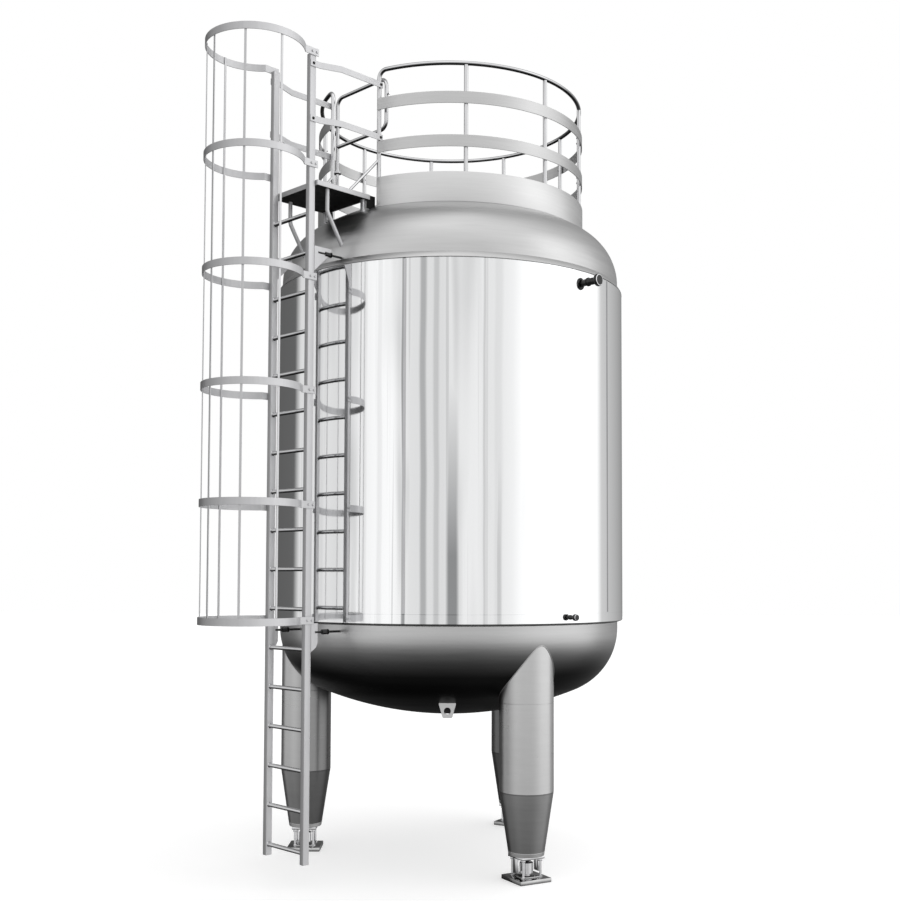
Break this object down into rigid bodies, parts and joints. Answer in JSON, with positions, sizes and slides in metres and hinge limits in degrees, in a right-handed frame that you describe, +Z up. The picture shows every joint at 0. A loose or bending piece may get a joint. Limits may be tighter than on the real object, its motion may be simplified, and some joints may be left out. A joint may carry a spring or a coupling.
{
  "type": "vertical storage tank",
  "caption": "Insulated upright storage tank on legs, with dished ends, polished cladding, a caged ladder, a step-over platform and a guard rail with a swing gate.",
  "frame": {"origin": "on the floor, at the middle of the ground area that the tank and its ladder cage cover", "axes": "+Z up; the tank's axis stands 0.169 m from the origin towards +X and +Y; the ladder stands towards -X and -Y"},
  "size_m": [3.0971, 3.0971, 5.9297],
  "materials": {
    "polished_cladding": "mirror-polished stainless sheet with faint vertical waves",
    "satin_steel": "satin stainless steel",
    "cone_steel": "darker satin stainless steel",
    "fitting_steel": "bright machined stainless steel",
    "rail_tube": "ground stainless tube",
    "rail_flat": "light satin stainless flat bar",
    "ladder_steel": "light satin stainless profile",
    "deck_steel": "ribbed steel deck with a light edge"
  },
  "bodies": {
    "tank": {"shell_wall": "polished_cladding", "top_flashing": "satin_steel", "upper_head": "satin_steel", "lower_head": "satin_steel", "manway_neck": "satin_steel", "manway_lid": "satin_steel", "bottom_lug": "satin_steel", "upper_nozzle": "fitting_steel", "sample_nozzle": "fitting_steel", "roof_curb": "satin_steel", "handrail": "rail_tube", "upper_rail": "rail_flat", "lower_rail": "rail_flat", "rail_post_1": "rail_tube", "rail_post_2": "rail_tube", "rail_post_3": "rail_tube", "rail_post_4": "rail_tube", "rail_post_5": "rail_tube", "rail_post_6": "rail_tube", "rail_post_7": "rail_tube", "rail_post_8": "rail_tube", "gate_hinge_lower": "rail_tube", "gate_hinge_upper": "rail_tube", "platform": "deck_steel", "brace_right": "rail_tube", "brace_left": "rail_tube", "side_rail_left_lower": "ladder_steel", "side_rail_left_upper": "ladder_steel", "side_rail_right_lower": "ladder_steel", "side_rail_right_upper": "ladder_steel", "ladder": "ladder_steel", "ladder_mount_left_lower": "ladder_steel", "ladder_mount_right_lower": "ladder_steel", "ladder_mount_left_upper": "ladder_steel", "ladder_mount_right_upper": "ladder_steel", "cage_hoop_1": "ladder_steel", "cage_hoop_2": "ladder_steel", "cage_hoop_3": "ladder_steel", "cage_hoop_4": "ladder_steel", "cage_hoop_5": "ladder_steel", "cage_hoop_6": "ladder_steel", "cage_bar_1": "ladder_steel", "cage_bar_2": "ladder_steel", "cage_bar_3": "ladder_steel", "cage_bar_4": "ladder_steel", "cage_bar_5": "ladder_steel", "leg_1": "satin_steel", "leg_2": "satin_steel", "leg_3": "satin_steel", "leg_cone_1": "cone_steel", "leg_cone_2": "cone_steel", "leg_cone_3": "cone_steel", "foot_1": "fitting_steel", "foot_2": "fitting_steel", "foot_3": "fitting_steel"},
    "gate_leaf": {"gate": "rail_tube"}
  },
  "joints": [
    {"name": "gate_swing", "type": "hinge", "parent": "tank", "child": "gate_leaf", "pos_m": [-0.70326, -0.33278, 5.15], "axis": [0, 0, 1], "range_deg": [0, 90]}
  ]
}
